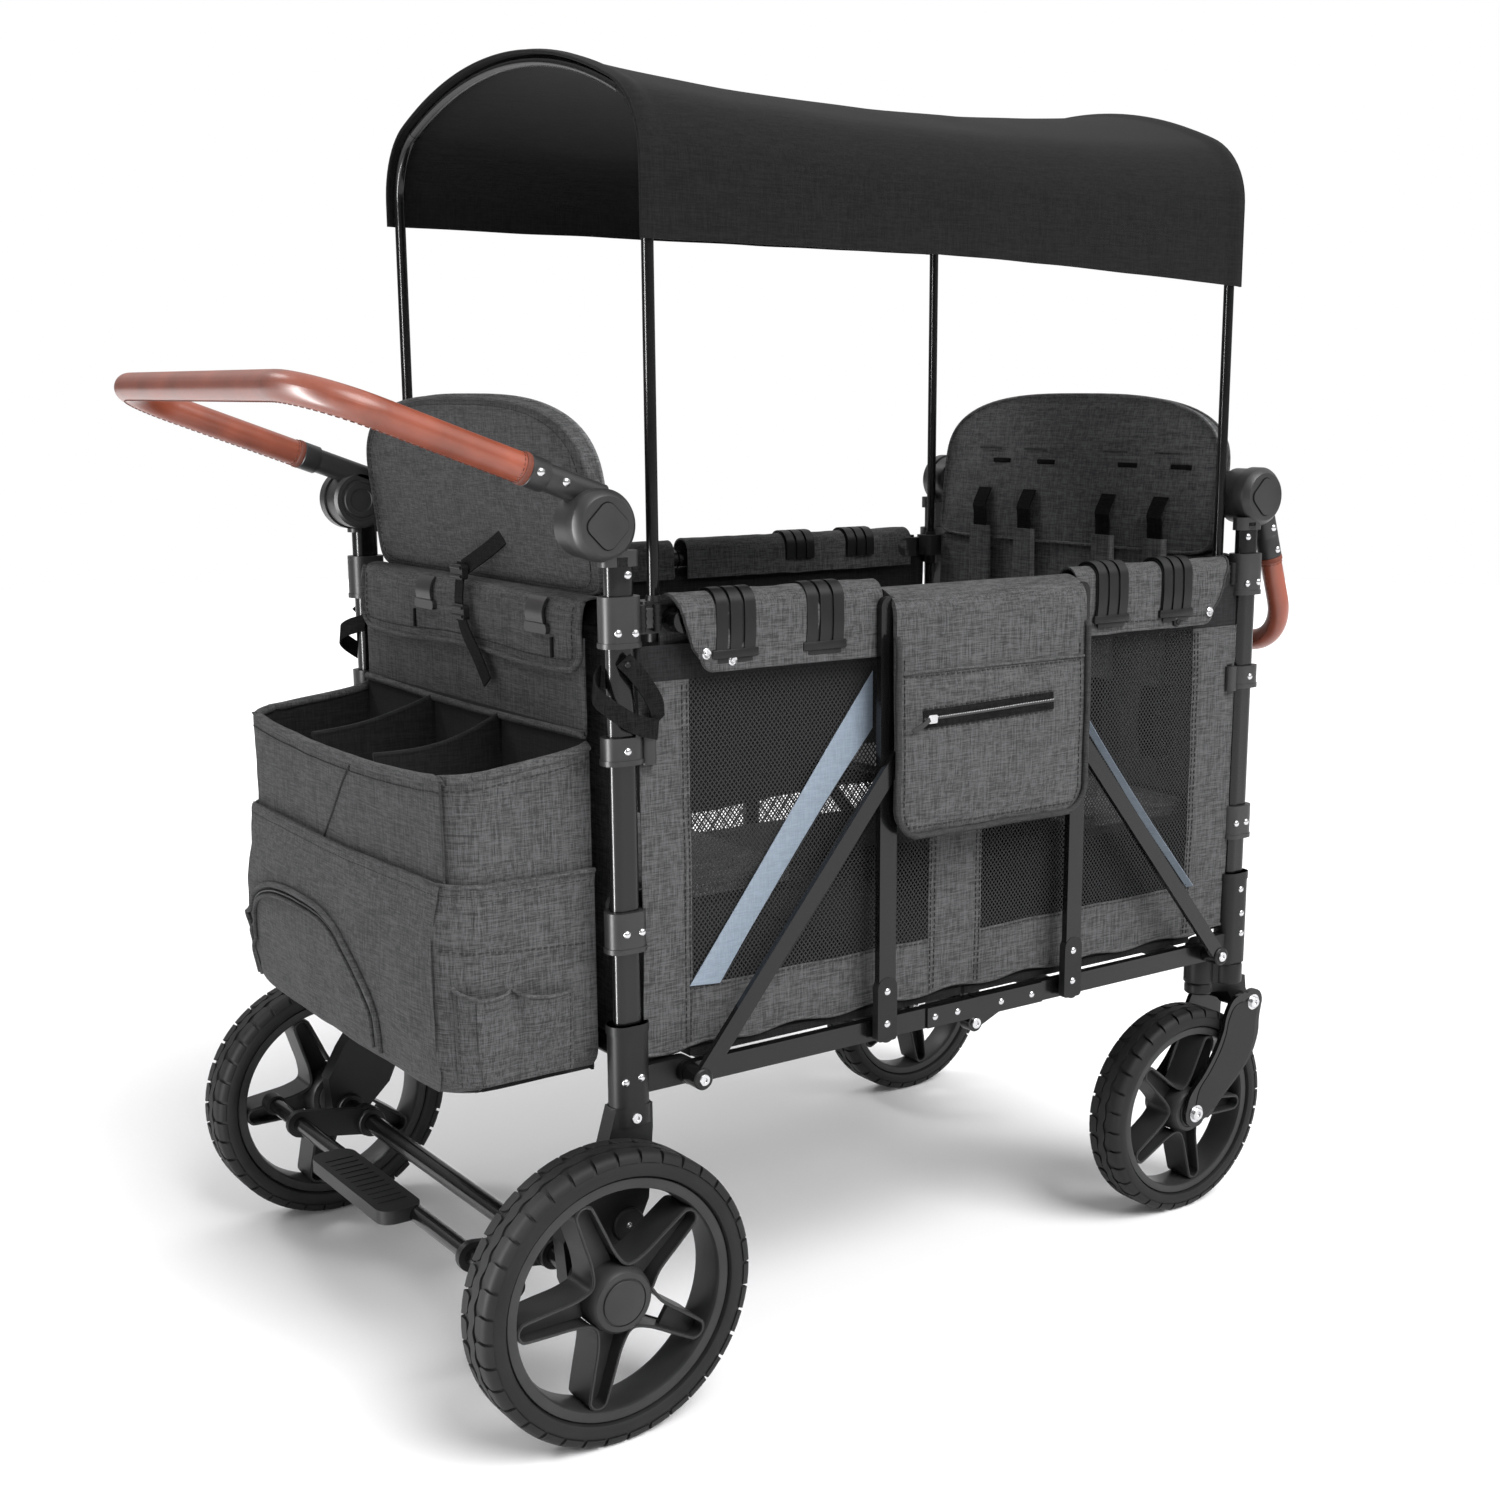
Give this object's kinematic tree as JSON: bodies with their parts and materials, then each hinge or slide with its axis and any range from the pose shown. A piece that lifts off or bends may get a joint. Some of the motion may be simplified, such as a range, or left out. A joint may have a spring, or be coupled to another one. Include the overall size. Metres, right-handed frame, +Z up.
{
  "type": "folding stroller wagon",
  "caption": "Folding four-wheeled stroller wagon with facing benches, hooped canopy, tilting push handles, swivel casters, foot brake and hanging organizer bag.",
  "frame": {"origin": "on the floor under the middle of the overall box", "axes": "+X to the caster end, +Y to the wagon's left, +Z up"},
  "size_m": [1.2932, 0.762, 1.3513],
  "materials": {
    "frame": "gloss black powder coat",
    "casting": "satin black moulded",
    "fitting": "fine-grained dark grey",
    "rivet": "bright",
    "charcoal_cloth": "heather charcoal woven cloth",
    "black_cloth": "black woven cloth",
    "board": "cloth-covered board",
    "grip": "tan stitched leather",
    "tyre": "matt foam rubber",
    "rim": "satin black"
  },
  "bodies": {
    "rear_frame": {"rear_end_frame": "frame", "rear_corners": "casting", "rear_axle": "frame", "rear_post_fittings": "fitting", "rear_wall": "charcoal_cloth", "rear_backrest": "charcoal_cloth", "organizer_bag": "charcoal_cloth", "rear_fasteners": "rivet", "side_panels": "charcoal_cloth"},
    "rear_handle": {"rear_handle_grip": "grip", "rear_handle_arms": "fitting"},
    "rear_hub_button_l": {"rear_button_l": "fitting"},
    "rear_hub_button_r": {"rear_button_r": "fitting"},
    "brake": {"brake_bar": "frame"},
    "rear_wheel_l": {"rear_tyre_l": "tyre", "rear_rim_l": "rim"},
    "rear_wheel_r": {"rear_tyre_r": "tyre", "rear_rim_r": "rim"},
    "rear_floor": {"rear_rails": "frame", "rear_floor_board": "board"},
    "front_floor": {"front_rails": "frame", "front_floor_board": "board"},
    "rear_brace_pair": {"rear_braces": "frame"},
    "front_brace_pair": {"front_braces": "frame"},
    "rear_side_posts": {"rear_mid_posts": "frame", "side_pouch": "charcoal_cloth"},
    "front_side_posts": {"front_mid_posts": "frame"},
    "rear_top": {"rear_top_rails": "frame", "rear_rim_rolls": "charcoal_cloth", "rear_rim_clips": "fitting"},
    "front_top": {"front_top_rails": "frame", "front_rim_rolls": "charcoal_cloth", "front_rim_clips": "fitting"},
    "rear_seat": {"rear_bench": "board", "rear_bench_pad": "charcoal_cloth"},
    "front_seat": {"front_bench": "board", "front_bench_pad": "charcoal_cloth"},
    "front_frame": {"front_end_frame": "frame", "front_corners": "casting", "front_post_fittings": "fitting", "front_wall": "charcoal_cloth", "front_backrest": "charcoal_cloth", "front_fasteners": "rivet"},
    "front_handle": {"front_handle_grip": "grip", "front_handle_arms": "fitting"},
    "front_hub_button_l": {"front_button_l": "fitting"},
    "front_hub_button_r": {"front_button_r": "fitting"},
    "caster_l": {"caster_head_l": "casting"},
    "caster_r": {"caster_head_r": "casting"},
    "fork_l": {"fork_arm_l": "frame"},
    "fork_r": {"fork_arm_r": "frame"},
    "front_wheel_l": {"front_tyre_l": "tyre", "front_rim_l": "rim"},
    "front_wheel_r": {"front_tyre_r": "tyre", "front_rim_r": "rim"},
    "canopy_rear": {"canopy_rear_hoop": "frame", "canopy_fabric": "black_cloth"},
    "canopy_front": {"canopy_front_hoop": "frame"}
  },
  "joints": [
    {"name": "fold", "type": "hinge", "parent": "rear_frame", "child": "rear_floor", "pos_m": [-0.28143, 0, 0.34], "axis": [0, -1, 0], "range_deg": [0, 70], "deforming": ["side_panels", "canopy_fabric", "side_pouch"]},
    {"name": "floor_centre", "type": "hinge", "parent": "rear_floor", "child": "front_floor", "pos_m": [0.09257, 0, 0.322], "axis": [0, 1, 0], "range_deg": [0, 140]},
    {"name": "front_corner", "type": "hinge", "parent": "front_floor", "child": "front_frame", "pos_m": [0.46657, 0, 0.34], "axis": [0, -1, 0], "range_deg": [0, 70]},
    {"name": "rear_top_fold", "type": "hinge", "parent": "rear_frame", "child": "rear_top", "pos_m": [-0.28143, 0, 0.797], "axis": [0, -1, 0], "range_deg": [0, 70]},
    {"name": "front_top_fold", "type": "hinge", "parent": "front_frame", "child": "front_top", "pos_m": [0.46657, 0, 0.797], "axis": [0, 1, 0], "range_deg": [0, 70]},
    {"name": "rear_post_swing", "type": "hinge", "parent": "rear_floor", "child": "rear_side_posts", "pos_m": [-0.04243, 0, 0.34], "axis": [0, 1, 0], "range_deg": [0, 70]},
    {"name": "front_post_swing", "type": "hinge", "parent": "front_floor", "child": "front_side_posts", "pos_m": [0.22757, 0, 0.34], "axis": [0, -1, 0], "range_deg": [0, 70]},
    {"name": "rear_brace_swing", "type": "hinge", "parent": "rear_frame", "child": "rear_brace_pair", "pos_m": [-0.28143, 0, 0.34], "axis": [0, -1, 0], "range_deg": [0, 27.7]},
    {"name": "front_brace_swing", "type": "hinge", "parent": "front_frame", "child": "front_brace_pair", "pos_m": [0.46657, 0, 0.34], "axis": [0, 1, 0], "range_deg": [0, 27.7]},
    {"name": "rear_seat_fold", "type": "hinge", "parent": "rear_frame", "child": "rear_seat", "pos_m": [-0.29943, 0, 0.5175], "axis": [0, -1, 0], "range_deg": [0, 70]},
    {"name": "front_seat_fold", "type": "hinge", "parent": "front_frame", "child": "front_seat", "pos_m": [0.48457, 0, 0.5175], "axis": [0, 1, 0], "range_deg": [0, 70]},
    {"name": "rear_handle_tilt", "type": "hinge", "parent": "rear_frame", "child": "rear_handle", "pos_m": [-0.35943, 0, 0.89], "axis": [0, 1, 0], "range_deg": [-55, 70]},
    {"name": "front_handle_tilt", "type": "hinge", "parent": "front_frame", "child": "front_handle", "pos_m": [0.54457, 0, 0.89], "axis": [0, -1, 0], "range_deg": [0, 105]},
    {"name": "rear_button_l_press", "type": "slide", "parent": "rear_frame", "child": "rear_hub_button_l", "axis": [0, -1, 0], "range_m": [0, 0.004], "stiffness_N_per_m": 900, "springref_m": -0.001},
    {"name": "front_button_l_press", "type": "slide", "parent": "front_frame", "child": "front_hub_button_l", "axis": [0, -1, 0], "range_m": [0, 0.004], "stiffness_N_per_m": 900, "springref_m": -0.001},
    {"name": "rear_button_r_press", "type": "slide", "parent": "rear_frame", "child": "rear_hub_button_r", "axis": [0, 1, 0], "range_m": [0, 0.004], "stiffness_N_per_m": 900, "springref_m": -0.001},
    {"name": "front_button_r_press", "type": "slide", "parent": "front_frame", "child": "front_hub_button_r", "axis": [0, 1, 0], "range_m": [0, 0.004], "stiffness_N_per_m": 900, "springref_m": -0.001},
    {"name": "brake_press", "type": "hinge", "parent": "rear_frame", "child": "brake", "pos_m": [-0.40143, 0, 0.15], "axis": [0, -1, 0], "range_deg": [0, 16]},
    {"name": "rear_wheel_l_spin", "type": "hinge", "parent": "rear_frame", "child": "rear_wheel_l", "pos_m": [-0.40143, 0.352, 0.15], "axis": [0, 1, 0], "continuous": true},
    {"name": "caster_l_swivel", "type": "hinge", "parent": "front_frame", "child": "caster_l", "pos_m": [0.49757, 0.275, 0.3], "axis": [0, 0, 1], "continuous": true},
    {"name": "fork_l_suspension", "type": "hinge", "parent": "caster_l", "child": "fork_l", "pos_m": [0.56057, 0.275, 0.258], "axis": [0, 1, 0], "range_deg": [0, 5.5], "stiffness_Nm_per_rad": 180, "springref_deg": -8.59},
    {"name": "front_wheel_l_spin", "type": "hinge", "parent": "fork_l", "child": "front_wheel_l", "pos_m": [0.46457, 0.275, 0.13], "axis": [0, 1, 0], "continuous": true},
    {"name": "rear_wheel_r_spin", "type": "hinge", "parent": "rear_frame", "child": "rear_wheel_r", "pos_m": [-0.40143, -0.352, 0.15], "axis": [0, 1, 0], "continuous": true},
    {"name": "caster_r_swivel", "type": "hinge", "parent": "front_frame", "child": "caster_r", "pos_m": [0.49757, -0.275, 0.3], "axis": [0, 0, 1], "continuous": true},
    {"name": "fork_r_suspension", "type": "hinge", "parent": "caster_r", "child": "fork_r", "pos_m": [0.56057, -0.275, 0.258], "axis": [0, 1, 0], "range_deg": [0, 5.5], "stiffness_Nm_per_rad": 180, "springref_deg": -8.59},
    {"name": "front_wheel_r_spin", "type": "hinge", "parent": "fork_r", "child": "front_wheel_r", "pos_m": [0.46457, -0.275, 0.13], "axis": [0, 1, 0], "continuous": true},
    {"name": "canopy_rear_lift", "type": "slide", "parent": "rear_frame", "child": "canopy_rear", "axis": [0, 0, 1], "range_m": [-0.2, 0]},
    {"name": "canopy_front_lift", "type": "slide", "parent": "front_frame", "child": "canopy_front", "axis": [0, 0, 1], "range_m": [-0.2, 0]}
  ],
  "couplings": [
    {"joint": "floor_centre", "follows": "fold", "ratio": 2},
    {"joint": "front_corner", "follows": "fold", "ratio": 1},
    {"joint": "rear_top_fold", "follows": "fold", "ratio": 1},
    {"joint": "front_top_fold", "follows": "fold", "ratio": 1},
    {"joint": "rear_post_swing", "follows": "fold", "ratio": 1},
    {"joint": "front_post_swing", "follows": "fold", "ratio": 1},
    {"joint": "rear_brace_swing", "follows": "fold", "ratio": 0.39564},
    {"joint": "front_brace_swing", "follows": "fold", "ratio": 0.39564},
    {"joint": "rear_seat_fold", "follows": "fold", "ratio": 1},
    {"joint": "front_seat_fold", "follows": "fold", "ratio": 1},
    {"joint": "canopy_front_lift", "follows": "canopy_rear_lift", "ratio": 1}
  ]
}
